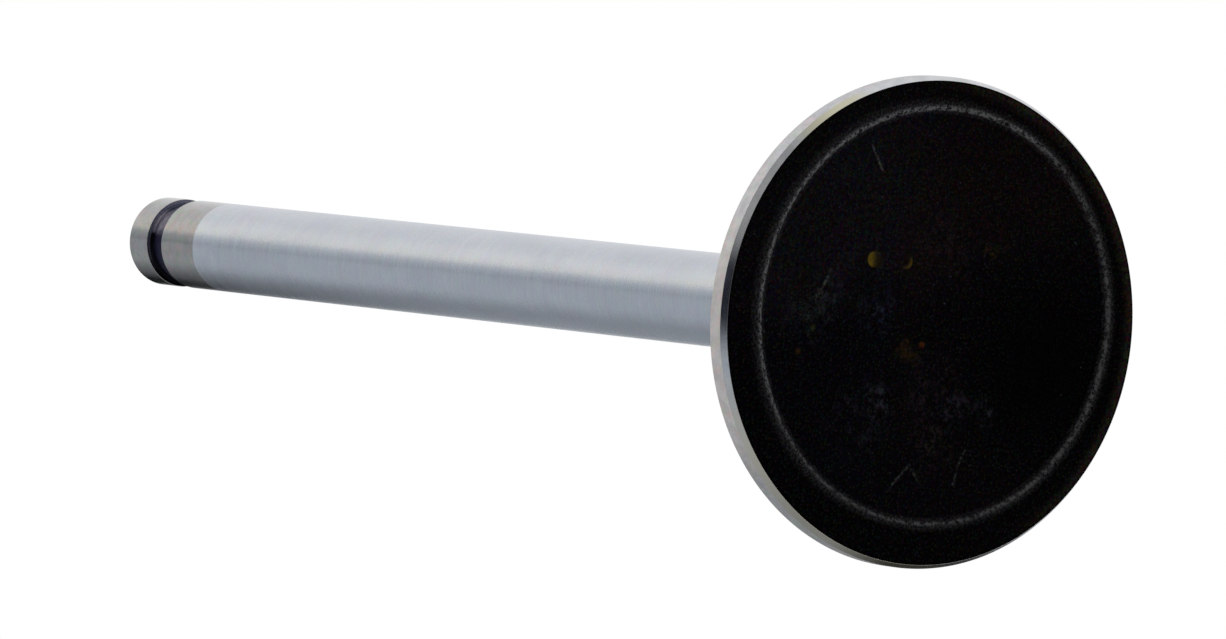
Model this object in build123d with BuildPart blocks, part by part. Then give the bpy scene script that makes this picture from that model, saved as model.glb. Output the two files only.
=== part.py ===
"""Engine valve: one solid of forged and ground steel, in millimetres.

The valve stands on its head. Z = 0 is the flat rim of the combustion face, the stem rises along
+Z, and the row's origin is the centre of that rim.
"""

import os
from math import cos, radians, sin, tan

from build123d import *

# Overall sizes
overall_length = 127.6
head_diameter = 40.8
stem_diameter = 8.0

# Head edge, from the combustion face upwards
edge_bevel_width = 0.33     # across the radius, at the combustion face
edge_bevel_height = 0.57    # along the axis
margin_height = 1.5         # ground cylindrical band above the bevel
seat_angle = 45.0           # between the sealing seat and the combustion face
seat_width = 2.6            # along the seat's slope

# Underhead: a shallow cone that sweeps up into the stem
underhead_angle = 22.0      # between the cone and the combustion face
underhead_radius = 14.0     # tulip fillet between cone and stem

# Forged recess in the combustion face, set a little off the valve's axis
recess_diameter = 34.6      # at its mouth
recess_depth = 0.35
recess_draft = 45.0         # slope of its wall from the axis
recess_edge_radius = 0.3    # rounds the mouth and the foot of the wall
recess_offset_x = 0.6
recess_offset_y = 0.4

# Tip end of the stem
tip_land = 3.6              # from the tip face to the keeper groove
tip_chamfer = 0.4
groove_width = 2.6          # of the keeper groove, at its mouth
groove_depth = 0.5
groove_floor_radius = 0.3   # rounds both corners of the groove's floor
groove_edge_break = 0.08    # takes the burr off both edges of its mouth

# Sizes that follow
head_radius = head_diameter / 2
stem_radius = stem_diameter / 2
margin_top = edge_bevel_height + margin_height
seat_inner_radius = head_radius - seat_width * cos(radians(seat_angle))
seat_top = margin_top + seat_width * sin(radians(seat_angle))
underhead_corner = seat_top + (seat_inner_radius - stem_radius) * tan(radians(underhead_angle))
groove_top = overall_length - tip_land
groove_bottom = groove_top - groove_width

with BuildPart() as valve:
    # Head and stem, turned about the axis
    with BuildSketch(Plane.XZ) as half_section:
        with BuildLine():
            face_line = Line((0, 0), (head_radius - edge_bevel_width, 0))
            edge_bevel = Line(face_line @ 1, (head_radius, edge_bevel_height))
            margin = Line(edge_bevel @ 1, (head_radius, margin_top))
            seat = Line(margin @ 1, (seat_inner_radius, seat_top))
            tulip = FilletPolyline(
                seat @ 1,
                (stem_radius, underhead_corner),
                (stem_radius, overall_length),
                radius=underhead_radius,
            )
            tip_line = Line(tulip @ 1, (0, overall_length))
            Line(tip_line @ 1, face_line @ 0)
        make_face()
    revolve(axis=Axis.Z)
    tip_edge = valve.edges().filter_by(GeomType.CIRCLE).sort_by(Axis.Z)[-1]
    chamfer(tip_edge, tip_chamfer)

    # Keeper groove, with rounded floor corners
    with BuildSketch(Plane.XZ) as groove_section:
        with Locations((stem_radius, (groove_bottom + groove_top) / 2)):
            Rectangle(2 * groove_depth, groove_width)
        floor_corners = groove_section.vertices().group_by(Axis.X)[0]
        fillet(floor_corners, groove_floor_radius)
    revolve(axis=Axis.Z, mode=Mode.SUBTRACT)
    groove_mouth = (
        valve.edges()
        .filter_by(GeomType.CIRCLE)
        .filter_by_position(Axis.Z, groove_bottom - groove_edge_break, groove_top + groove_edge_break)
        .filter_by(lambda edge: edge.radius > stem_radius - groove_edge_break)
    )
    chamfer(groove_mouth, groove_edge_break)

    # Shallow recess in the combustion face
    with BuildSketch(Plane.XY) as recess_mouth:
        with Locations((recess_offset_x, recess_offset_y)):
            Circle(recess_diameter / 2)
    extrude(amount=recess_depth, taper=recess_draft, mode=Mode.SUBTRACT)
    recess_wall_edges = (
        valve.edges()
        .filter_by(GeomType.CIRCLE)
        .filter_by_position(Axis.Z, 0, recess_depth)
        .filter_by(lambda edge: edge.radius <= recess_diameter / 2)
    )
    fillet(recess_wall_edges, recess_edge_radius)

valve.part.label = "valve"

os.makedirs("parts", exist_ok=True)
export_step(valve.part, "parts/valve.step")
print("volume", round(valve.part.volume, 2), "bounding box", valve.part.bounding_box())
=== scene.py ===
"""Looks of the engine valve: a finely turned mesh in the CAD node's place, its metal finishes,
a pale studio floor, soft light and the photograph's camera.

Outline sizes are in millimetres, as in the part's source, and become metres in the mesh.
"""

import math
from collections import namedtuple

import bpy
from mathutils import Matrix, Vector


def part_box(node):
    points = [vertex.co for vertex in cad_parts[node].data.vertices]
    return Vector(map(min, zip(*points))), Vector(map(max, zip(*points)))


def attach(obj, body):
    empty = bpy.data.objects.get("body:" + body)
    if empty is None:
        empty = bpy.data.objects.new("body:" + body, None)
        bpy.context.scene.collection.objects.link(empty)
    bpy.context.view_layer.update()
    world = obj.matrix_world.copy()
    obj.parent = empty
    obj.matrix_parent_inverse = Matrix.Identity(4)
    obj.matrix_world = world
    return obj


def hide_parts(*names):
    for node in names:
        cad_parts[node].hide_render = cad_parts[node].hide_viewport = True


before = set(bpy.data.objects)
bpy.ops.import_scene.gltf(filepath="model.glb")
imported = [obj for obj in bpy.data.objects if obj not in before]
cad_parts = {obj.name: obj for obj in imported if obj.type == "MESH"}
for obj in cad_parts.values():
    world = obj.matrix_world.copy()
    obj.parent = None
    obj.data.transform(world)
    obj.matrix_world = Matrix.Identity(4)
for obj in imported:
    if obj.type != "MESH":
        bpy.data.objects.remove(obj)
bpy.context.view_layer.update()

MM = 0.001
SEGMENTS = 288  # round the axis

# ---------------------------------------------------------------- sizes, in millimetres

node_low, node_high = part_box("valve")
HEAD_RADIUS = min(-node_low.x, -node_low.y, node_high.x, node_high.y) / MM
LENGTH = node_high.z / MM
STEM_RADIUS = 4.0

BEVEL_WIDTH = 0.33
BEVEL_HEIGHT = 0.57
MARGIN_TOP = BEVEL_HEIGHT + 1.5
SEAT_ANGLE = math.radians(45.0)
SEAT_WIDTH = 2.6
SEAT_RADIUS = HEAD_RADIUS - SEAT_WIDTH * math.cos(SEAT_ANGLE)
SEAT_TOP = MARGIN_TOP + SEAT_WIDTH * math.sin(SEAT_ANGLE)
UNDERHEAD_ANGLE = math.radians(22.0)
UNDERHEAD_ROUND = 14.0
UNDERHEAD_CORNER = SEAT_TOP + (SEAT_RADIUS - STEM_RADIUS) * math.tan(UNDERHEAD_ANGLE)

RECESS_X, RECESS_Y = 0.6, 0.4
RECESS_DEPTH = 0.35
RECESS_MOUTH = 17.3
RECESS_FLOOR = RECESS_MOUTH - RECESS_DEPTH
RECESS_ROUND = 0.3
LAND_RING = RECESS_MOUTH + 1.0    # where the recess's outline meets the valve's

GROOVE_TOP = LENGTH - 3.6
GROOVE_BOTTOM = GROOVE_TOP - 2.6
GROOVE_FLOOR = STEM_RADIUS - 0.5
GROOVE_ROUND = 0.3
TIP_CHAMFER = 0.4
SHARP = 0.05        # rounding of a crisp ground corner
BROKEN = 0.1        # rounding of a corner with its burr taken off
LEAST_STEPS = 5     # in a rounding
STEP_ANGLE = 6.0    # degrees to a step in a rounding of 1 mm, and fewer in a larger one

PLATING_BOTTOM = 26.0
PLATING_TOP = GROOVE_BOTTOM - 5.7

# ---------------------------------------------------------------- turned mesh

# A corner of the outline: its rounding, and the finish of that rounding and of the run after it
Corner = namedtuple("Corner", "radius height rounding finish")
# A point of a turned outline with its outward normal
Point = namedtuple("Point", "radius height normal_r normal_z finish")

RECESS_OUTLINE = [
    Corner(0.0, RECESS_DEPTH, 0.0, "face"),
    Corner(RECESS_FLOOR, RECESS_DEPTH, RECESS_ROUND, "face"),
    Corner(RECESS_MOUTH, 0.0, RECESS_ROUND, "face"),
    Corner(LAND_RING, 0.0, 0.0, "face"),
]
BODY_OUTLINE = [
    Corner(LAND_RING, 0.0, 0.0, "face"),
    Corner(HEAD_RADIUS - BEVEL_WIDTH, 0.0, SHARP, "edge"),
    Corner(HEAD_RADIUS, BEVEL_HEIGHT, SHARP, "rim"),
    Corner(HEAD_RADIUS, MARGIN_TOP, SHARP, "rim"),
    Corner(SEAT_RADIUS, SEAT_TOP, BROKEN, "forged"),
    Corner(STEM_RADIUS, UNDERHEAD_CORNER, UNDERHEAD_ROUND, "forged"),
    Corner(STEM_RADIUS, PLATING_BOTTOM, 0.0, "stem"),
    Corner(STEM_RADIUS, GROOVE_BOTTOM, SHARP, "groove"),
    Corner(GROOVE_FLOOR, GROOVE_BOTTOM, GROOVE_ROUND, "groove"),
    Corner(GROOVE_FLOOR, GROOVE_TOP, GROOVE_ROUND, "groove"),
    Corner(STEM_RADIUS, GROOVE_TOP, SHARP, "tip"),
    Corner(STEM_RADIUS, LENGTH - TIP_CHAMFER, BROKEN, "tip"),
    Corner(STEM_RADIUS - TIP_CHAMFER, LENGTH, SHARP, "tip"),
    Corner(0.0, LENGTH, 0.0, "tip"),
]


def corner_points(before, corner, after):
    """The points of one rounded corner, from one run's end to the next run's start."""
    here = Vector((corner.radius, corner.height))
    arriving = (here - Vector(before[:2])).normalized()
    leaving = (Vector(after[:2]) - here).normalized()
    turn = arriving.cross(leaving)
    angle = math.atan2(turn, arriving.dot(leaving))
    if corner.rounding == 0.0:
        return [Point(*here, arriving.y, -arriving.x, corner.finish)]
    side = math.copysign(1.0, turn)
    start = here - arriving * corner.rounding * math.tan(abs(angle) / 2)
    centre = start + Vector((-arriving.y, arriving.x)) * side * corner.rounding
    wanted = math.degrees(abs(angle)) * math.sqrt(corner.rounding) / STEP_ANGLE
    steps = max(LEAST_STEPS, math.ceil(wanted))
    points = []
    for step in range(steps + 1):
        swing = Matrix.Rotation(angle * step / steps, 2)
        spoke = swing @ (start - centre)
        normal = spoke * side / corner.rounding
        points.append(Point(*(centre + spoke), *normal, corner.finish))
    return points


def outline_points(corners):
    """The whole outline as points, with its first and last corners as they are."""
    first, last = corners[0], corners[-1]
    run = (Vector(corners[1][:2]) - Vector(first[:2])).normalized()
    points = [Point(first.radius, first.height, run.y, -run.x, first.finish)]
    for before, corner, after in zip(corners, corners[1:], corners[2:]):
        points += corner_points(before, corner, after)
    run = (Vector(last[:2]) - Vector(corners[-2][:2])).normalized()
    points.append(Point(last.radius, last.height, run.y, -run.x, last.finish))
    return points


def band_faces(low, high, from_centre, to_centre):
    """The faces between two rings whose first vertices are low and high. A ring at the centre has
    only one vertex."""
    faces = []
    for k in range(SEGMENTS):
        after = (k + 1) % SEGMENTS
        if from_centre:
            faces.append((low, high + after, high + k))
        elif to_centre:
            faces.append((low + k, low + after, high))
        else:
            faces.append((low + k, low + after, high + after, high + k))
    return faces


def turned_mesh(name, finishes):
    """The valve's closed surface, ring by ring from the recess's centre to the tip's centre."""
    recess = [(point, RECESS_X, RECESS_Y) for point in outline_points(RECESS_OUTLINE)[:-1]]
    body = [(point, 0.0, 0.0) for point in outline_points(BODY_OUTLINE)[1:]]
    rings = recess + body
    angles = [math.tau * k / SEGMENTS for k in range(SEGMENTS)]
    spin = [(math.cos(angle), math.sin(angle)) for angle in angles]
    vertices, normals, starts = [], [], []
    for point, x, y in rings:
        starts.append(len(vertices))
        around = spin if point.radius > 0 else [(1.0, 0.0)]
        for cos, sin in around:
            place = Vector((x + point.radius * cos, y + point.radius * sin, point.height))
            vertices.append(place * MM)
            normals.append((point.normal_r * cos, point.normal_r * sin, point.normal_z))
    faces, slots = [], []
    for index, (low, high) in enumerate(zip(starts, starts[1:])):
        here, above = rings[index][0], rings[index + 1][0]
        band = band_faces(low, high, here.radius == 0, above.radius == 0)
        faces += band
        slots += [finishes.index(here.finish)] * len(band)
    mesh = bpy.data.meshes.new(name)
    mesh.from_pydata(vertices, [], faces)
    mesh.polygons.foreach_set("material_index", slots)
    mesh.polygons.foreach_set("use_smooth", [True] * len(faces))
    mesh.update()
    mesh.normals_split_custom_set_from_vertices(normals)
    return mesh


# ---------------------------------------------------------------- node helpers

NOISE_RANGE = (0.3, 0.7)    # most values of a noise lie between these


class Graph:
    """A node tree, with short ways to add to it. Inputs take a plain value or a socket."""

    def __init__(self, tree):
        self.tree = tree
        tree.nodes.clear()

    def feed(self, socket, value):
        """Link the value to the socket if it is a socket itself, or else set it there."""
        if isinstance(value, bpy.types.NodeSocket):
            self.tree.links.new(value, socket)
        elif socket.type == "RGBA" and len(value) == 3:
            socket.default_value = (*value, 1.0)
        else:
            socket.default_value = value

    def node(self, kind, inputs=None, **settings):
        """A new node with these inputs, by name or index, and these settings."""
        node = self.tree.nodes.new(kind)
        for key, setting in settings.items():
            setattr(node, key, setting)
        for key, value in (inputs or {}).items():
            self.feed(node.inputs[key], value)
        return node

    def maths(self, operation, *values):
        return self.node("ShaderNodeMath", dict(enumerate(values)), operation=operation).outputs[0]

    def product(self, first, *others):
        for other in others:
            first = self.maths("MULTIPLY", first, other)
        return first

    def vector(self, operation, *values):
        node = self.node("ShaderNodeVectorMath", dict(enumerate(values)), operation=operation)
        number = operation in ("DOT_PRODUCT", "LENGTH", "DISTANCE")
        return node.outputs["Value" if number else "Vector"]

    def scale(self, vector, factor):
        inputs = {0: vector, "Scale": factor}
        return self.node("ShaderNodeVectorMath", inputs, operation="SCALE").outputs[0]

    def ramp(self, value, low, high, start=0.0, end=1.0):
        """start at low, end at high and beyond, with a smooth step between them."""
        inputs = {"Value": value, "From Min": low, "From Max": high, "To Min": start, "To Max": end}
        return self.node("ShaderNodeMapRange", inputs, interpolation_type="SMOOTHSTEP").outputs[0]

    def spread(self, noise, start, end):
        """start to end over the range of most of the noise's values."""
        return self.ramp(noise, *NOISE_RANGE, start, end)

    def mix(self, kind, factor, first, second):
        """first where factor is 0, second where it is 1. The kind is FLOAT, VECTOR or RGBA."""
        slots = {"FLOAT": (0, 2, 3, 0), "VECTOR": (0, 4, 5, 1), "RGBA": (0, 6, 7, 2)}[kind]
        inputs = dict(zip(slots, (factor, first, second)))
        return self.node("ShaderNodeMix", inputs, data_type=kind).outputs[slots[3]]

    def place(self):
        """The point's place on the valve, in millimetres."""
        point = self.node("ShaderNodeTexCoord").outputs["Object"]
        return self.vector("MULTIPLY", point, (1 / MM,) * 3)

    def flat(self, place):
        """The place brought down to the height of 0."""
        return self.vector("MULTIPLY", place, (1.0, 1.0, 0.0))

    def radius(self, place):
        """The place's distance from the valve's axis."""
        return self.vector("LENGTH", self.flat(place))

    def height(self, place):
        return self.node("ShaderNodeSeparateXYZ", {0: place}).outputs["Z"]

    def from_spot(self, flat, spot):
        """How far a flattened place is from the (x, y) spot."""
        return self.vector("DISTANCE", flat, (*spot, 0.0))

    def from_line(self, flat, start, end):
        """How far a flattened place is from the line between two (x, y) spots, and how far along
        it, where 0 is the start and 1 the end."""
        run = Vector((*end, 0.0)) - Vector((*start, 0.0))
        offset = self.vector("SUBTRACT", flat, (*start, 0.0))
        along = self.vector("DOT_PRODUCT", offset, tuple(run / run.length_squared))
        nearest = self.maths("MINIMUM", self.maths("MAXIMUM", along, 0.0), 1.0)
        return self.vector("DISTANCE", offset, self.scale(tuple(run), nearest)), along

    def noise_node(self, place, grain, detail, roughness):
        """A noise whose patches are about grain millimetres in all directions, or along x, y, z."""
        grain = grain if hasattr(grain, "__len__") else (grain,) * 3
        scaled = self.vector("DIVIDE", place, grain)
        inputs = {"Vector": scaled, "Scale": 1.0, "Detail": detail, "Roughness": roughness}
        return self.node("ShaderNodeTexNoise", inputs)

    def noise(self, place, grain, detail=3.0, roughness=0.5):
        return self.noise_node(place, grain, detail, roughness).outputs[0]

    def tints(self, place, grain, strength, detail=3.0, roughness=0.8):
        """A noise about 1 of its own for each of red, green and blue."""
        noise = self.noise_node(place, grain, detail, roughness).outputs["Color"]
        centred = self.vector("SUBTRACT", noise, (0.5, 0.5, 0.5))
        tint = self.vector("ADD", self.scale(centred, strength), (1.0, 1.0, 1.0))
        return self.vector("MAXIMUM", tint, (0.0, 0.0, 0.0))

    def cells(self, flat, size):
        """The outputs of a texture that parts the face into cells of about this size."""
        inputs = {"Vector": flat, "Scale": 1 / size}
        return self.node("ShaderNodeTexVoronoi", inputs, voronoi_dimensions="2D").outputs

    def bump(self, height, strength, distance):
        """A normal from a height between 0 and 1, over a distance in millimetres."""
        inputs = {"Height": height, "Strength": strength, "Distance": distance * MM}
        return self.node("ShaderNodeBump", inputs).outputs[0]

    def surface(self, **inputs):
        """A Principled surface: the input names have underscores for spaces."""
        inputs = {name.replace("_", " "): value for name, value in inputs.items()}
        shader = self.node("ShaderNodeBsdfPrincipled", inputs).outputs[0]
        self.node("ShaderNodeOutputMaterial", {"Surface": shader})


def direction(azimuth, elevation):
    """The way from the origin, in degrees: azimuth 0 is -Y and 90 is +X."""
    turn, rise = math.radians(azimuth), math.radians(elevation)
    across = math.cos(rise)
    return Vector((math.sin(turn) * across, -math.cos(turn) * across, math.sin(rise)))


def new_material(name):
    """A material, and the graph of its emptied node tree."""
    material = bpy.data.materials.new(name)
    material.use_nodes = True
    return material, Graph(material.node_tree)


# ---------------------------------------------------------------- finishes

# The values of each finish stand above its function. Colours are linear. A grain, a patch or a
# set of marks is the size of a noise's patches, in all directions or along x, y and z. A pair
# called a share is the two values of a noise between which something goes from none to all. A
# stretch is a middle and a reach each way round the axis, in degrees from -Y towards +X.

GRIND_DEPTH = 0.01      # of a grinding mark
FINE_GRIND = 0.2        # how strongly the marks tilt the surface
COARSE_GRIND = 0.3
STRETCH_CORE = 0.4      # the share of its reach over which a stretch is at its full strength


def stretch(graph, place, azimuth, reach):
    """1 at the azimuth round the valve's axis, 0 from its reach on, in degrees."""
    outward = graph.vector("NORMALIZE", graph.flat(place))
    towards = graph.vector("DOT_PRODUCT", outward, tuple(direction(azimuth, 0.0)))
    edge = math.cos(math.radians(reach))
    core = math.cos(math.radians(STRETCH_CORE * reach))
    return graph.ramp(towards, edge, core)


# Far steps, so that three noises of one size are unlike each other
GREEN_STEP = (31.0, 17.0, 5.0)
SHADE_STEP = (7.0, 3.0, 50.0)
WARM_SHARE = (0.42, 0.66)
GREEN_SHARE = (0.45, 0.70)
STEEL_SHADE = (0.90, 1.10)


def tinted_steel(graph, place, patch, plain, warm, green):
    """Bare steel with faint warm and green patches, and lighter and darker ones."""
    green_place = graph.vector("ADD", place, GREEN_STEP)
    shade_place = graph.vector("ADD", place, SHADE_STEP)
    warmth = graph.ramp(graph.noise(place, patch, roughness=0.65), *WARM_SHARE)
    greenness = graph.ramp(graph.noise(green_place, patch, roughness=0.65), *GREEN_SHARE)
    shade = graph.noise(shade_place, patch, detail=4.0, roughness=0.7)
    tinted = graph.mix("RGBA", warmth, plain, warm)
    tinted = graph.mix("RGBA", greenness, tinted, green)
    return graph.scale(tinted, graph.spread(shade, *STEEL_SHADE))


RIM_STEEL = (0.600, 0.578, 0.572)
RIM_WARM = (0.665, 0.565, 0.545)
RIM_GREEN = (0.570, 0.605, 0.515)
RIM_PATCH = 1.0
RIM_MARKS = (1.5, 1.5, 0.12)
RIM_ROUGHNESS = (0.40, 0.50)
RIM_COOL = (55, 60)
RIM_COOLED = (0.965, 1.000, 1.050)    # times the colour elsewhere
# Painted light: one stretch of the rim is painted lighter, unevenly along the grinding marks
RIM_LIGHT_STRETCH = (-12, 34)
RIM_LIGHTER = (1.275, 1.207, 1.155)    # times the colour elsewhere
RIM_LIGHT_SHARE = (0.3, 0.6)
RIM_LIGHT_LEAST = 0.7


def rim_material():
    """The margin and the seat: ground round and evenly matt, with a cool stretch and a stretch
    that is painted lighter as painted light."""
    material, graph = new_material("ground_rim")
    place = graph.place()
    marks = graph.noise(place, RIM_MARKS, roughness=0.6)
    steel = tinted_steel(graph, place, RIM_PATCH, RIM_STEEL, RIM_WARM, RIM_GREEN)
    cooled = graph.vector("MULTIPLY", steel, RIM_COOLED)
    steel = graph.mix("RGBA", stretch(graph, place, *RIM_COOL), steel, cooled)
    # A lighter copy of the steel, painted on one stretch as light
    rubbed_and_lit = graph.vector("MULTIPLY", steel, RIM_LIGHTER)
    uneven = graph.ramp(marks, *RIM_LIGHT_SHARE, start=RIM_LIGHT_LEAST)
    light_patch = graph.product(stretch(graph, place, *RIM_LIGHT_STRETCH), uneven)
    graph.surface(
        Base_Color=graph.mix("RGBA", light_patch, steel, rubbed_and_lit),
        Metallic=1.0,
        Roughness=graph.spread(marks, *RIM_ROUGHNESS),
        Normal=graph.bump(marks, COARSE_GRIND, GRIND_DEPTH),
    )
    return material


EDGE_STEEL = (0.560, 0.565, 0.575)
EDGE_BLUE = (0.530, 0.545, 0.585)
EDGE_PATCH = 2.0
EDGE_MARKS = (1.2, 1.2, 0.1)
EDGE_ROUGHNESS = (0.14, 0.20)
EDGE_HEAT = (-62, 50)
EDGE_WARM = (0.590, 0.550, 0.450)
# Painted highlight: a straw-yellow glint painted on one stretch of the bevel
EDGE_GLINT = (54, 12)
EDGE_GLINT_YELLOW = (0.505, 0.490, 0.375)


def edge_material():
    """The bright turned bevel between the margin and the face, with a heat tint along it and a
    painted yellow highlight.
    """
    material, graph = new_material("turned_bevel")
    place = graph.place()
    marks = graph.noise(place, EDGE_MARKS, roughness=0.6)
    steel = tinted_steel(graph, place, EDGE_PATCH, EDGE_STEEL, EDGE_BLUE, EDGE_STEEL)
    steel = graph.mix("RGBA", stretch(graph, place, *EDGE_HEAT), steel, EDGE_WARM)
    graph.surface(
        Base_Color=graph.mix("RGBA", stretch(graph, place, *EDGE_GLINT), steel, EDGE_GLINT_YELLOW),
        Metallic=1.0,
        Roughness=graph.spread(marks, *EDGE_ROUGHNESS),
        Normal=graph.bump(marks, FINE_GRIND, GRIND_DEPTH),
    )
    return material


TIP_STEEL = (0.372, 0.366, 0.365)
TIP_WARM = (0.440, 0.360, 0.350)
TIP_GREEN = (0.350, 0.395, 0.315)
TIP_PATCH = 0.9
TIP_ROUGHNESS = (0.10, 0.16)
RINGS = (9.0, 9.0, 0.13)      # grinding marks, long round the axis and fine along it


def tip_finish(graph, place):
    """Colour, roughness and normal of the bare steel at the tip, ground fine and round."""
    marks = graph.noise(place, RINGS, roughness=0.6)
    colour = tinted_steel(graph, place, TIP_PATCH, TIP_STEEL, TIP_WARM, TIP_GREEN)
    roughness = graph.spread(marks, *TIP_ROUGHNESS)
    return colour, roughness, graph.bump(marks, FINE_GRIND, GRIND_DEPTH)


END_STEEL = (0.560, 0.555, 0.550)
END_MARKS = (3.0, 0.10, 1.0)
END_SHADE = (0.88, 1.10)
END_ROUGHNESS = (0.42, 0.60)
END_EDGE = (LENGTH - 0.10, LENGTH - 0.03)     # heights between which the end's grind sets in


def tip_material():
    """The land above the groove, with the flat end that the rocker rubs to a duller grind."""
    material, graph = new_material("ground_tip")
    place = graph.place()
    colour, roughness, normal = tip_finish(graph, place)
    on_end = graph.ramp(graph.height(place), *END_EDGE)
    marks = graph.noise(place, END_MARKS, roughness=0.6)
    end_colour = graph.scale(END_STEEL, graph.spread(marks, *END_SHADE))
    end_roughness = graph.spread(marks, *END_ROUGHNESS)
    end_normal = graph.bump(marks, COARSE_GRIND, GRIND_DEPTH)
    graph.surface(
        Base_Color=graph.mix("RGBA", on_end, colour, end_colour),
        Metallic=1.0,
        Roughness=graph.mix("FLOAT", on_end, roughness, end_roughness),
        Normal=graph.mix("VECTOR", on_end, normal, end_normal),
    )
    return material


CHROME = (0.562, 0.582, 0.615)
CHROME_DULL = (0.530, 0.550, 0.585)
CHROME_CLOUDS = (3.0, 3.0, 9.0)
CHROME_CLOUDS_SHARE = (0.35, 0.65)
CHROME_TINTS = (1.5, 1.5, 1.0)
CHROME_TINT_STRENGTH = 0.24
CHROME_SHADE = (0.96, 1.04)
CHROME_ROUGHNESS = (0.20, 0.29)
CHATTER = (1.1, 1.1, 0.30)    # ripples that the grinding wheel leaves between its marks
CHATTER_HEIGHT = 0.3          # times the marks' own
PLATING_EDGE = (PLATING_TOP + 0.05, PLATING_TOP + 0.20)   # heights between which it thins out
PLATING_PATCH = 2.0
PLATING_WANDER = 0.3          # how far its edge strays


def chrome_finish(graph, place):
    """Colour, roughness and normal of the hard chrome, ground round, with faint tints in it."""
    marks = graph.noise(place, RINGS, detail=4.0, roughness=0.65)
    clouds = graph.noise(place, CHROME_CLOUDS, roughness=0.55)
    tints = graph.tints(place, CHROME_TINTS, CHROME_TINT_STRENGTH, detail=4.0, roughness=0.75)
    colour = graph.mix("RGBA", graph.ramp(clouds, *CHROME_CLOUDS_SHARE), CHROME_DULL, CHROME)
    colour = graph.scale(graph.vector("MULTIPLY", colour, tints), graph.spread(marks, *CHROME_SHADE))
    chatter = graph.product(graph.noise(place, CHATTER, detail=2.0), CHATTER_HEIGHT)
    relief = graph.maths("ADD", marks, chatter)
    roughness = graph.spread(marks, *CHROME_ROUGHNESS)
    return colour, roughness, graph.bump(relief, FINE_GRIND, GRIND_DEPTH)


def stem_material():
    """Hard chrome, which ends at the bare band below the groove."""
    material, graph = new_material("plated_stem")
    place = graph.place()
    plated, plated_roughness, plated_normal = chrome_finish(graph, place)
    bare, bare_roughness, bare_normal = tip_finish(graph, place)
    wander = graph.product(graph.noise(place, PLATING_PATCH, detail=2.0), PLATING_WANDER)
    is_bare = graph.ramp(graph.maths("ADD", graph.height(place), wander), *PLATING_EDGE)
    graph.surface(
        Base_Color=graph.mix("RGBA", is_bare, plated, bare),
        Metallic=1.0,
        Roughness=graph.mix("FLOAT", is_bare, plated_roughness, bare_roughness),
        Normal=graph.mix("VECTOR", is_bare, plated_normal, bare_normal),
    )
    return material


SCALE_BLACK = (0.0080, 0.0075, 0.0080)
SCALE_BLUE = (0.0150, 0.0165, 0.0205)
SCALE_CLOUDS = 4.0
SCALE_CLOUDS_SHARE = (0.35, 0.70)
SCALE_GRAIN = 0.8
SCALE_GRAIN_HEIGHT = 1.5
SCALE_RINGS = 0.45            # turning marks round the axis, under the scale
SCALE_RINGS_HEIGHT = 1.6
SCALE_DEPTH = 0.16
SCALE_ROUGHNESS = (0.32, 0.52)
SCALE_SPECULAR = 0.35


def forged_material():
    """Matt black scale on the underhead and the neck."""
    material, graph = new_material("black_forging")
    place = graph.place()
    grain = graph.noise(place, SCALE_GRAIN, detail=6.0, roughness=0.75)
    clouds = graph.ramp(graph.noise(place, SCALE_CLOUDS), *SCALE_CLOUDS_SHARE)
    profile = graph.node("ShaderNodeCombineXYZ", {"X": graph.radius(place), "Z": graph.height(place)})
    rings = graph.noise(profile.outputs[0], SCALE_RINGS, detail=2.0, roughness=0.6)
    relief = graph.maths(
        "ADD",
        graph.product(grain, SCALE_GRAIN_HEIGHT),
        graph.product(rings, SCALE_RINGS_HEIGHT),
    )
    graph.surface(
        Base_Color=graph.mix("RGBA", clouds, SCALE_BLACK, SCALE_BLUE),
        Metallic=0.0,
        Roughness=graph.spread(grain, *SCALE_ROUGHNESS),
        Specular_IOR_Level=SCALE_SPECULAR,
        Normal=graph.bump(relief, 1.0, SCALE_DEPTH),
    )
    return material


# The first colour is near black, painted into the groove as shade
GROOVE_SHADE_BLACK = (0.006, 0.006, 0.009)
OXIDE = (0.0110, 0.0092, 0.0360)
HAZY_OXIDE = (0.068, 0.074, 0.118)
RUBBED_OXIDE = (0.270, 0.250, 0.300)
GROOVE_WALL = (0.430, 0.440, 0.560)
GROOVE_GRAIN = (0.7, 0.7, 0.5)
GROOVE_ROUGHNESS = (0.36, 0.46)
GROOVE_RUB = (31, 26)
GROOVE_HAZE = (68, 32)
GROOVE_SHADED_WALLS = (-85, 75)
CORNER_SHADE_REACH = 0.55             # from the groove's upper wall down its floor
CORNER_SHADE_WANDER = 0.4             # how far the painted shade's edge strays
RUB_SHARE = (0.25, 0.60)
RUB_LEAST = 0.3
RUB_FADE = (0.7, 1.8)         # distances below the upper wall between which the rub fades
RUB_FADED = 0.5
CORNER_SHADE_OFF_RUB = (0.5, 0.1)     # how rubbed the floor is where it has no painted shade, and all of it
CORNER_SHADE_ON_HAZE = 0.3
WALL_EDGE = (GROOVE_FLOOR + 0.15, GROOVE_FLOOR + 0.30)    # radii between which the walls begin


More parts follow.
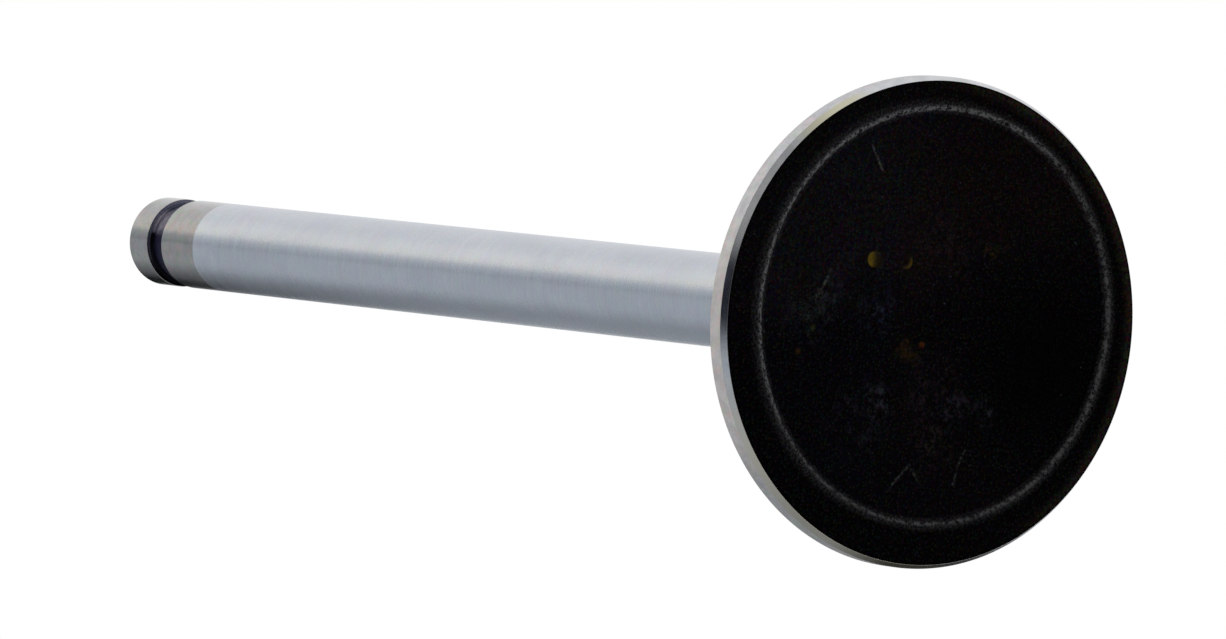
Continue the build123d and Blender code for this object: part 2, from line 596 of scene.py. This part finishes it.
def groove_material():
    """Blue-black oxide in the keeper groove. The top of its floor, along the upper wall, is painted
    black as shade, one stretch of the floor is hazy, one is rubbed by the keepers, and the walls are
    bright but for a stretch painted black as shade towards -X."""
    material, graph = new_material("black_groove")
    place = graph.place()
    grain = graph.noise(place, GROOVE_GRAIN, detail=4.0, roughness=0.6)
    wander = graph.product(graph.maths("SUBTRACT", grain, 0.5), CORNER_SHADE_WANDER)
    below_wall = graph.maths("SUBTRACT", GROOVE_TOP, graph.maths("ADD", graph.height(place), wander))
    hazy = stretch(graph, place, *GROOVE_HAZE)
    rubbed_and_lit = graph.product(
        stretch(graph, place, *GROOVE_RUB),
        graph.ramp(grain, *RUB_SHARE, start=RUB_LEAST),
        graph.ramp(below_wall, *RUB_FADE, start=1.0, end=RUB_FADED),
    )
    # Painted shade: the floor is painted black next to its upper wall, less where it is rubbed or
    # hazy
    corner_shade = graph.product(
        graph.ramp(below_wall, CORNER_SHADE_REACH, CORNER_SHADE_REACH / 2),
        graph.ramp(rubbed_and_lit, *CORNER_SHADE_OFF_RUB),
        graph.ramp(hazy, 1.0, 0.0, start=CORNER_SHADE_ON_HAZE),
    )
    floor = graph.mix("RGBA", hazy, OXIDE, HAZY_OXIDE)
    floor = graph.mix("RGBA", rubbed_and_lit, floor, RUBBED_OXIDE)
    floor = graph.mix("RGBA", corner_shade, floor, GROOVE_SHADE_BLACK)
    # Painted shade: the walls are painted black on the stretch towards -X
    wall = graph.mix("RGBA", stretch(graph, place, *GROOVE_SHADED_WALLS), GROOVE_WALL, GROOVE_SHADE_BLACK)
    graph.surface(
        Base_Color=graph.mix("RGBA", graph.ramp(graph.radius(place), *WALL_EDGE), floor, wall),
        Metallic=1.0,
        Roughness=graph.spread(grain, *GROOVE_ROUGHNESS),
        Normal=graph.bump(grain, FINE_GRIND, GRIND_DEPTH),
    )
    return material


# ---------------------------------------------------------------- the face's finish

# A way is a direction across the face, and an edge is the two distances along it, from the axis,
# between which a change sets in
# Painted light: the face is painted a lighter grey towards +X and -Y, as lit, and blue-black
# elsewhere, as shaded
FACE_SHADED = (0.0007, 0.0005, 0.0014)
FACE_LIT = (0.0029, 0.0023, 0.0034)
LIT_WAY = (0.95, -0.30, 0.0)
LIT_EDGE = (4.0, 11.0)
LIT_PATCH = 4.0
LIT_WANDER = 7.0             # how far the grey's edge strays
FACE_RED = (0.0024, 0.0008, 0.0009)
RED_WAY = (0.0, 1.0, 0.0)
RED_EDGE = (-8.0, 4.0)
RED_ON_SHADED, RED_ON_LIT = 0.30, 0.75
# Painted shade: towards +Y the face is painted darkest, black at a spot and fading out over its reach
FACE_SHADE_BLACK = (0.0001, 0.0001, 0.0002)
SHADE_SPOT = (-2.5, 12.0)
SHADE_REACH = (3.0, 14.0)      # black within the first distance, and as elsewhere from the second
LAND_SHADE = 0.45             # the land round the recess is this much as light as its floor
SHADE_EDGE = (RECESS_MOUTH + 0.1, RECESS_FLOOR)
FACE_BROWN = (0.0110, 0.0080, 0.0060)
BROWN_WAY = (0.30, 0.95, 0.0)
BROWN_EDGE = (2.0, 14.0)
BROWN_RIM = (18.8, HEAD_RADIUS - BEVEL_WIDTH)    # radii between which it sets in
# Sizes and strengths of the red, green and blue noises in the face's colour
BROAD_TINTS = (3.5, 1.8)
FINE_TINTS = (0.30, 8.0)
MARK_TINTS = (0.45, 2.5)


def face_colour(graph, place, flat):
    """Nearly black, with painted light and shade: a lit grey towards +X, a shaded blue-black below,
    reddish and then a painted shade deepest towards +Y, and brown along one side of the rim."""
    lean = graph.vector("DOT_PRODUCT", flat, LIT_WAY)
    wander = graph.product(graph.noise(place, LIT_PATCH, roughness=0.6), LIT_WANDER)
    lit = graph.ramp(graph.maths("ADD", lean, wander), *LIT_EDGE)
    colour = graph.mix("RGBA", lit, FACE_SHADED, FACE_LIT)

    redness = graph.ramp(graph.vector("DOT_PRODUCT", flat, RED_WAY), *RED_EDGE)
    redness = graph.product(redness, graph.ramp(lit, 0.0, 1.0, RED_ON_SHADED, RED_ON_LIT))
    colour = graph.mix("RGBA", redness, colour, FACE_RED)

    off_shade = graph.ramp(graph.from_spot(flat, SHADE_SPOT), *SHADE_REACH)
    colour = graph.mix("RGBA", off_shade, FACE_SHADE_BLACK, colour)

    from_centre = graph.from_spot(flat, (RECESS_X, RECESS_Y))
    colour = graph.scale(colour, graph.ramp(from_centre, *SHADE_EDGE, start=LAND_SHADE))

    brownness = graph.product(
        graph.ramp(graph.vector("LENGTH", flat), *BROWN_RIM),
        graph.ramp(graph.vector("DOT_PRODUCT", flat, BROWN_WAY), *BROWN_EDGE),
    )
    colour = graph.mix("RGBA", brownness, colour, FACE_BROWN)
    return graph.vector("MULTIPLY", colour, graph.tints(place, *BROAD_TINTS))


# Wisps of dust and oil: (x, y) place on the face, reach, colour
SMEARS = [
    ((0.4, -5.4), 2.8, (0.013, 0.014, 0.030)),
    ((-0.7, -12.0), 3.2, (0.014, 0.017, 0.016)),
    ((1.6, -10.4), 2.6, (0.017, 0.017, 0.020)),
    ((-6.8, -4.1), 2.6, (0.021, 0.020, 0.028)),
    ((-6.9, 3.4), 2.2, (0.021, 0.017, 0.025)),
    ((-6.9, 6.4), 1.8, (0.018, 0.018, 0.028)),
    ((-8.6, -5.8), 4.5, (0.010, 0.009, 0.014)),
    ((-5.5, 0.7), 4.0, (0.014, 0.009, 0.012)),
    ((-10.1, 1.4), 3.5, (0.012, 0.009, 0.009)),
    ((6.5, 5.7), 1.8, (0.020, 0.013, 0.003)),
    ((-2.6, -2.1), 2.0, (0.026, 0.016, 0.003)),
    ((6.5, 0.0), 6.0, (0.011, 0.006, 0.007)),
]
WISP_GRAIN = 0.7
WISP_SHARE = (0.46, 0.70)
# Spots of rust: (x, y) place, reach, colour
SPOTS = [
    ((-2.65, -2.00), 1.15, (0.012, 0.007, 0.001)),
    ((-1.88, -0.54), 0.45, (0.036, 0.011, 0.001)),
    ((-3.44, -12.62), 0.42, (0.021, 0.010, 0.002)),
    ((-1.40, -11.40), 0.40, (0.014, 0.016, 0.003)),
]
RUST_SHARE = (0.35, 0.55)
RUST_LEAST = 0.4


def stained(graph, flat, stains, cover, colour):
    """The colour with these stains on it, each where cover is and strongest in its middle."""
    for spot, reach, stain in stains:
        near = graph.ramp(graph.from_spot(flat, spot), reach, 0.0)
        colour = graph.mix("RGBA", graph.product(near, cover), colour, stain)
    return colour


def face_stains(graph, place, flat, flecks, colour):
    """The colour with the face's wisps of dust and oil and its rust spots on it."""
    wisps = graph.noise(place, WISP_GRAIN, detail=6.0, roughness=0.75)
    wisps = graph.ramp(wisps, *WISP_SHARE)
    rusted = graph.ramp(flecks, *RUST_SHARE, start=RUST_LEAST)
    colour = stained(graph, flat, SMEARS, wisps, colour)
    return stained(graph, flat, SPOTS, rusted, colour)


SPECK_CELL = 2.0
SPECK_GREY = (0.022, 0.024, 0.030)
SPECK_EDGE = (0.05, 0.01)     # distances from its middle, in cells, between which a speck sets in
CHOSEN = (1.0, 1.6)           # how bright a cell's own colour is if it has no speck, or a full one


def face_specks(graph, flat, colour):
    """The colour with pale specks on it, one in the middle of some cells."""
    cells = graph.cells(flat, SPECK_CELL)
    chosen = graph.ramp(graph.vector("LENGTH", cells["Color"]), *CHOSEN)
    specks = graph.product(graph.ramp(cells["Distance"], *SPECK_EDGE), chosen)
    return graph.mix("RGBA", specks, colour, SPECK_GREY)


# Scratches: the (x, y) places that each goes through, and its strength
SCRATCHES = [
    ([(13.96, -7.45), (13.03, -6.83), (11.93, -6.20)], 1.0),
    ([(3.45, -10.25), (1.99, -10.85), (1.03, -11.52)], 1.1),
    ([(-14.16, -2.44), (-12.64, -1.25), (-11.85, -0.55)], 0.65),
    ([(-12.20, -0.30), (-13.40, 0.81)], 0.35),
    ([(-10.15, 4.82), (-11.20, 4.35), (-13.05, 3.99)], 0.60),
]
SCRATCH_REACH = 0.20
SCRATCH_GREY = (0.040, 0.040, 0.040)
SCRATCH_FLECK_SHARE = (0.40, 0.56)
SCRATCH_FLECK_LEAST = 0.1
SCRATCH_BREAKS = 1.3          # the size of the breaks in a scratch
SCRATCH_BREAK_SHARE = (0.42, 0.58)
SCRATCH_BREAK_LEAST = 0.12


def face_scratches(graph, place, flat, flecks, colour):
    """The colour with the face's broken, flecked scratches on it."""
    scratched = 0.0
    for points, strength in SCRATCHES:
        for start, end in zip(points, points[1:]):
            distance, _ = graph.from_line(flat, start, end)
            scratch = graph.ramp(distance, SCRATCH_REACH, 0.0, end=strength)
            scratched = graph.maths("MAXIMUM", scratch, scratched)
    flecked = graph.ramp(flecks, *SCRATCH_FLECK_SHARE, start=SCRATCH_FLECK_LEAST)
    broken = graph.noise(place, SCRATCH_BREAKS, roughness=0.7)
    broken = graph.ramp(broken, *SCRATCH_BREAK_SHARE, start=SCRATCH_BREAK_LEAST)
    return graph.mix("RGBA", graph.product(scratched, flecked, broken), colour, SCRATCH_GREY)


# The dust is dimmed where the face's painted shade is deepest
DUST = 0.0075                 # the brightest of the dust's grains
DUST_LEAST = 0.3 * DUST       # and the brightest where the face is blackest
DUST_CELL = 0.3               # one grain to a cell of this size
GRAIN_EDGE = (0.50, 0.10)     # distances from its middle, in cells, between which a grain sets in
DUST_EDGE = (1.0, 9.0)        # distances from the dark spot between which it grows brighter


def face_dust(graph, flat):
    """Fine grains of dust, each of its own tint, dimmer in the face's painted shade."""
    cells = graph.cells(flat, DUST_CELL)
    grains = graph.ramp(cells["Distance"], *GRAIN_EDGE)
    brightest = graph.ramp(graph.from_spot(flat, SHADE_SPOT), *DUST_EDGE, DUST_LEAST, DUST)
    tint = graph.vector("MULTIPLY", cells["Color"], cells["Color"])
    return graph.scale(tint, graph.product(grains, brightest))


DROP_START, DROP_END = (4.72, -6.10), (4.85, -3.00)
DROP_RADIUS = 0.74
DROP_YELLOW = (0.090, 0.060, 0.004)
DROP_EDGE = (DROP_RADIUS, 0.75 * DROP_RADIUS)
# How much yellow each part has at most, and the shares of the drop's length between which it
# goes from none to that
DROP_FIRST, FIRST_RUN = 0.80, (0.10, -0.18)
DROP_TAIL, TAIL_RUN = 0.10, (0.40, 0.00)
DROP_LAST, LAST_RUN = 0.46, (0.84, 1.16)
LAST_HOLLOW = (0.30 * DROP_RADIUS, 0.80 * DROP_RADIUS)
LAST_SIDE = (DROP_END[0] + 0.60, DROP_END[0] - 0.20)    # the last part is on the side towards -X
DROP_FLECKS = (0.35, 0.60, 0.65, 1.10)


def dried_drop(graph, flat, flecks, colour):
    """The colour with a long dried drop on it: a yellow crescent at its first end, with a tail,
    and a fainter crescent at the other."""
    distance, along = graph.from_line(flat, DROP_START, DROP_END)
    inside = graph.ramp(distance, *DROP_EDGE)
    first = graph.ramp(along, *FIRST_RUN, end=DROP_FIRST)
    tail = graph.ramp(along, *TAIL_RUN, end=DROP_TAIL)
    last = graph.product(
        graph.ramp(along, *LAST_RUN, end=DROP_LAST),
        graph.ramp(graph.vector("DOT_PRODUCT", flat, (1.0, 0.0, 0.0)), *LAST_SIDE),
        graph.ramp(distance, *LAST_HOLLOW),
    )
    yellow = graph.maths("ADD", graph.maths("ADD", first, tail), last)
    yellow = graph.product(inside, yellow, graph.ramp(flecks, *DROP_FLECKS))
    return graph.mix("RGBA", yellow, colour, DROP_YELLOW)


FACE_WORN = (0.090, 0.091, 0.094)
WORN_START = RECESS_MOUTH - 0.12      # the line's inner edge
WORN_SET_IN = (-0.28, 0.0)            # distances beyond it between which the line sets in
WORN_FLECK_SHARE = (0.41, 0.57)
WORN_MOST = 1.28
WORN_WIDTH = (0.33, 0.56)
WIDE_WAY = (0.2, -1.0, 0.0)
WIDE_EDGE = (-2.0, 12.0)
# Painted light: the worn line is drawn stronger towards -Y and +X, the side that catches the light
WORN_LIT_STRENGTH = (0.47, 1.0)
WORN_LIT_WAY = (0.7, -0.7, 0.0)
WORN_LIT_EDGE = (1.0, 8.0)
HALO_WIDTH = 2.4                      # times the line's
HALO_SHARE = (0.42, 0.64)
HALO_STRENGTH = (0.02, 0.32)
HALO_SET_IN = (-0.55, -0.35)
HALO_STEP_UP = (-0.10, 0.05)          # distances between which it grows from its inner strength
HALO_INNER = 0.35


def worn_line(graph, flat, flecks, grain):
    """How worn the face is along the mouth of its recess: a flecked line of real wear, widest towards
    -Y and, as painted light, strongest towards -Y and +X, with a halo that fades outwards over about
    a millimetre."""
    from_centre = graph.from_spot(flat, (RECESS_X, RECESS_Y))
    outside = graph.maths("SUBTRACT", from_centre, WORN_START)
    width = graph.ramp(graph.vector("DOT_PRODUCT", flat, WIDE_WAY), *WIDE_EDGE, *WORN_WIDTH)
    lit_side = graph.vector("DOT_PRODUCT", flat, WORN_LIT_WAY)
    line = graph.product(
        graph.ramp(outside, width, 0.0),
        graph.ramp(flecks, *WORN_FLECK_SHARE, end=WORN_MOST),
        graph.ramp(lit_side, *WORN_LIT_EDGE, *WORN_LIT_STRENGTH),
        graph.ramp(outside, *WORN_SET_IN),
    )
    halo = graph.product(
        graph.ramp(outside, graph.product(width, HALO_WIDTH), 0.0),
        graph.ramp(grain, *HALO_SHARE, *HALO_STRENGTH),
        graph.ramp(outside, *HALO_SET_IN),
        graph.ramp(outside, *HALO_STEP_UP, start=HALO_INNER),
    )
    return graph.maths("MAXIMUM", line, halo)


FACE_GRAIN = 0.22
FLECKS = 0.38
FLECKS_STEP = (5.0, 2.0, 8.0)         # so that the flecks are unlike the grain
FACE_BUMP = 0.35
FACE_DEPTH = 0.03
FACE_ROUGHNESS = 0.5
FACE_SPECULAR = 0.015


def face_material():
    """Black combustion face, stained, scratched and worn grey along the mouth of its recess."""
    material, graph = new_material("black_face")
    place = graph.place()
    flat = graph.flat(place)
    grain = graph.noise(place, FACE_GRAIN, roughness=0.8)
    flecks = graph.noise(graph.vector("ADD", place, FLECKS_STEP), FLECKS, roughness=0.8)
    colour = face_colour(graph, place, flat)
    colour = graph.vector("MULTIPLY", colour, graph.tints(place, *FINE_TINTS))
    colour = face_stains(graph, place, flat, flecks, colour)
    colour = face_specks(graph, flat, colour)
    colour = face_scratches(graph, place, flat, flecks, colour)
    colour = graph.vector("MULTIPLY", colour, graph.tints(place, *MARK_TINTS))
    colour = graph.vector("ADD", colour, face_dust(graph, flat))
    colour = dried_drop(graph, flat, flecks, colour)
    graph.surface(
        Base_Color=graph.mix("RGBA", worn_line(graph, flat, flecks, grain), colour, FACE_WORN),
        Metallic=0.0,
        Roughness=FACE_ROUGHNESS,
        Specular_IOR_Level=FACE_SPECULAR,
        Normal=graph.bump(grain, FACE_BUMP, FACE_DEPTH),
    )
    return material


FINISHES = {
    "face": face_material,
    "edge": edge_material,
    "rim": rim_material,
    "forged": forged_material,
    "stem": stem_material,
    "groove": groove_material,
    "tip": tip_material,
}

valve_mesh = turned_mesh("valve_body", list(FINISHES))
for make_material in FINISHES.values():
    valve_mesh.materials.append(make_material())
valve_body = bpy.data.objects.new("valve_body", valve_mesh)
bpy.context.scene.collection.objects.link(valve_body)
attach(valve_body, "root")
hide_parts("valve")

# ---------------------------------------------------------------- floor

# In metres
FLOOR_HOLE = 0.0199         # under the head, where its rim hides the hole's edge from above
FLOOR_RADIUS = 0.60
FLOOR_FADE = 0.22           # from here out the floor melts into the white background
FLOOR_DROP = 0.00005        # below the face's rim, so that the two don't meet
FLOOR_COLOUR = (0.86, 0.86, 0.86)


def floor_material():
    """Pale and matt from above, and clear from below, where the camera looks up at the face."""
    material, graph = new_material("pale_floor")
    place = graph.node("ShaderNodeTexCoord").outputs["Object"]
    fade = graph.ramp(graph.vector("LENGTH", place), FLOOR_FADE, FLOOR_RADIUS)
    below = graph.node("ShaderNodeNewGeometry").outputs["Backfacing"]
    gone = graph.maths("MAXIMUM", fade, below)
    pale = graph.node("ShaderNodeBsdfDiffuse", {"Color": FLOOR_COLOUR}).outputs[0]
    clear = graph.node("ShaderNodeBsdfTransparent").outputs[0]
    both = graph.node("ShaderNodeMixShader", {0: gone, 1: pale, 2: clear}).outputs[0]
    graph.node("ShaderNodeOutputMaterial", {"Surface": both})
    return material


def stage_object(name, vertices, faces, material):
    """An object of the studio, which isn't part of the valve."""
    mesh = bpy.data.meshes.new(name)
    mesh.from_pydata(vertices, [], faces)
    mesh.materials.append(material)
    piece = bpy.data.objects.new(name, mesh)
    bpy.context.scene.collection.objects.link(piece)
    return piece


def make_floor():
    """A ring of floor round the valve, just under the height that it stands at."""
    vertices, faces = [], []
    for k in range(SEGMENTS):
        angle = math.tau * k / SEGMENTS
        for radius in (FLOOR_HOLE, FLOOR_RADIUS):
            vertices.append((radius * math.cos(angle), radius * math.sin(angle), -FLOOR_DROP))
        after = (k + 1) % SEGMENTS
        faces.append((2 * k, 2 * k + 1, 2 * after + 1, 2 * after))
    floor = stage_object("floor", vertices, faces, floor_material())
    floor.visible_glossy = False


# ---------------------------------------------------------------- light

# Soft-edged cards that stand round the part, out of the picture, so that the white studio has
# something for the metal to reflect. Angles are in degrees, seen from the origin: azimuth 0 is -Y
# and 90 is +X. The width and height are the whole card's, fade_across and fade_up are the widths
# of its fading edges, the distance is in metres, and a level of 1 is white.
Card = namedtuple(
    "Card", "name azimuth elevation width height fade_across fade_up distance level tint"
)

NEUTRAL = (1.0, 1.0, 1.0)
COOL = (0.90, 0.97, 1.06)
SKY = (0.975, 0.99, 1.02)
WARM = (1.03, 1.00, 0.94)
INDIGO = (0.80, 0.84, 1.45)
CARDS = [
    Card("shaded_side", -61, 30, 190, 116, 18, 18, 1.45, 0.56, COOL),
    Card("shaded_back", -115, 30, 130, 116, 36, 36, 1.40, 0.33, COOL),
    Card("far_side", 135, 55, 160, 60, 25, 25, 1.50, 0.90, SKY),
    Card("warm_edge", 36, 58, 20, 60, 10, 20, 1.32, 1.00, WARM),
    Card("front_shade", 42, -2, 80, 64, 20, 20, 1.35, 0.42, NEUTRAL),
    Card("stripe", 2, 50, 13, 80, 5, 5, 1.30, 0.46, COOL),
    Card("low_dark", -140, 13, 80, 74, 20, 14, 1.25, 0.04, WARM),
    Card("front_card", 3, -1, 44, 46, 12, 12, 1.20, 0.02, INDIGO),
    Card("front_low", 3, -30, 56, 60, 18, 10, 1.22, 0.13, NEUTRAL),
    Card("under_card", 180, -70, 360, 80, 20, 15, 1.30, 0.06, NEUTRAL),
    Card("tip_card", -132, 78.5, 144, 27, 60, 7, 0.29, 0.00, NEUTRAL),
]
CARD_STEPS = 24

FILL = 0.80                   # the white studio's light on matt surfaces
KEY_STRENGTH = 8.0            # in watts
KEY_SIZE = 0.7                # across, in metres
KEY_AZIMUTH, KEY_ELEVATION = 75, 42
KEY_DISTANCE = 1.1


def card_material(card):
    """Plain light where the card covers, and clear beyond its fading edges."""
    material, graph = new_material(card.name)
    cover = graph.node("ShaderNodeAttribute", attribute_name="cover").outputs["Fac"]
    light = graph.node("ShaderNodeEmission", {"Color": card.tint, "Strength": card.level}).outputs[0]
    clear = graph.node("ShaderNodeBsdfTransparent").outputs[0]
    both = graph.node("ShaderNodeMixShader", {0: cover, 1: clear, 2: light}).outputs[0]
    graph.node("ShaderNodeOutputMaterial", {"Surface": both})
    return material


def fading(size, offset, fade):
    """1 in the middle of a card of this size, down to 0 at its edge."""
    return min(1.0, (size / 2 - abs(offset)) / fade)


def make_card(card):
    """A patch of a ball round the part, seen only in its metal. It has no fading edge at the
    ball's pole, or at its sides if it goes all the way round."""
    vertices, cover, faces = [], [], []
    row = CARD_STEPS + 1
    for i in range(row):
        across = card.width * (i / CARD_STEPS - 0.5)
        beside = fading(card.width, across, card.fade_across) if card.width < 360 else 1.0
        for k in range(row):
            up = card.height * (k / CARD_STEPS - 0.5)
            elevation = max(-90.0, min(90.0, card.elevation + up))
            above = fading(card.height, up, card.fade_up) if abs(elevation) < 90 else 1.0
            vertices.append(direction(card.azimuth + across, elevation) * card.distance)
            cover.append(above * beside)
            corner = i * row + k
            if i and k:
                faces.append((corner, corner - row, corner - row - 1, corner - 1))
    piece = stage_object(card.name, vertices, faces, card_material(card))
    attribute = piece.data.attributes.new("cover", "FLOAT", "POINT")
    attribute.data.foreach_set("value", cover)
    piece.visible_camera = False
    piece.visible_shadow = False
    piece.visible_diffuse = False


def softbox(name, place, size, strength):
    """A round lamp that looks at the valve and isn't seen in its metal."""
    lamp = bpy.data.lights.new(name, "AREA")
    lamp.shape = "DISK"
    lamp.size = size
    lamp.energy = strength
    holder = bpy.data.objects.new(name, lamp)
    holder.location = place
    holder.rotation_mode = "QUATERNION"
    holder.rotation_quaternion = (-place).to_track_quat("-Z", "Y")
    holder.visible_glossy = False
    bpy.context.scene.collection.objects.link(holder)


def studio_world():
    """White to the camera and in the metal, and plain fill light on what is matt."""
    world = bpy.data.worlds.new("studio")
    world.use_nodes = True
    bpy.context.scene.world = world
    graph = Graph(world.node_tree)
    path = graph.node("ShaderNodeLightPath").outputs
    seen = graph.maths("MAXIMUM", path["Is Camera Ray"], path["Is Glossy Ray"])
    seen = graph.maths("MAXIMUM", seen, path["Is Transmission Ray"])
    level = graph.mix("FLOAT", seen, FILL, 1.0)
    background = graph.node("ShaderNodeBackground", {"Color": NEUTRAL, "Strength": level})
    graph.node("ShaderNodeOutputWorld", {"Surface": background.outputs[0]})


make_floor()
for each in CARDS:
    make_card(each)
softbox("key", direction(KEY_AZIMUTH, KEY_ELEVATION) * KEY_DISTANCE, KEY_SIZE, KEY_STRENGTH)
studio_world()

# ---------------------------------------------------------------- camera

# In millimetres
SENSOR_WIDTH = 36.0
CAMERA_LENS = 343.5
CAMERA_PLACE = Vector((0.0, -535.56, -803.90)) * MM
CAMERA_AIM = Vector((-2.6, -3.93, 43.07)) * MM
CAMERA_UP = Vector((0.99429, -0.08899, 0.05891))


def photograph_camera():
    """A long lens that looks up at the face, a little from one side, with the stem behind it."""
    data = bpy.data.cameras.new("camera")
    data.sensor_width = SENSOR_WIDTH
    data.lens = CAMERA_LENS
    camera = bpy.data.objects.new("camera", data)
    back = (CAMERA_PLACE - CAMERA_AIM).normalized()
    right = CAMERA_UP.cross(back).normalized()
    up = back.cross(right)
    turn = Matrix((right, up, back)).transposed().to_4x4()
    camera.matrix_world = Matrix.Translation(CAMERA_PLACE) @ turn
    bpy.context.scene.collection.objects.link(camera)
    bpy.context.scene.camera = camera


photograph_camera()
bpy.context.scene.view_settings.view_transform = "Standard"
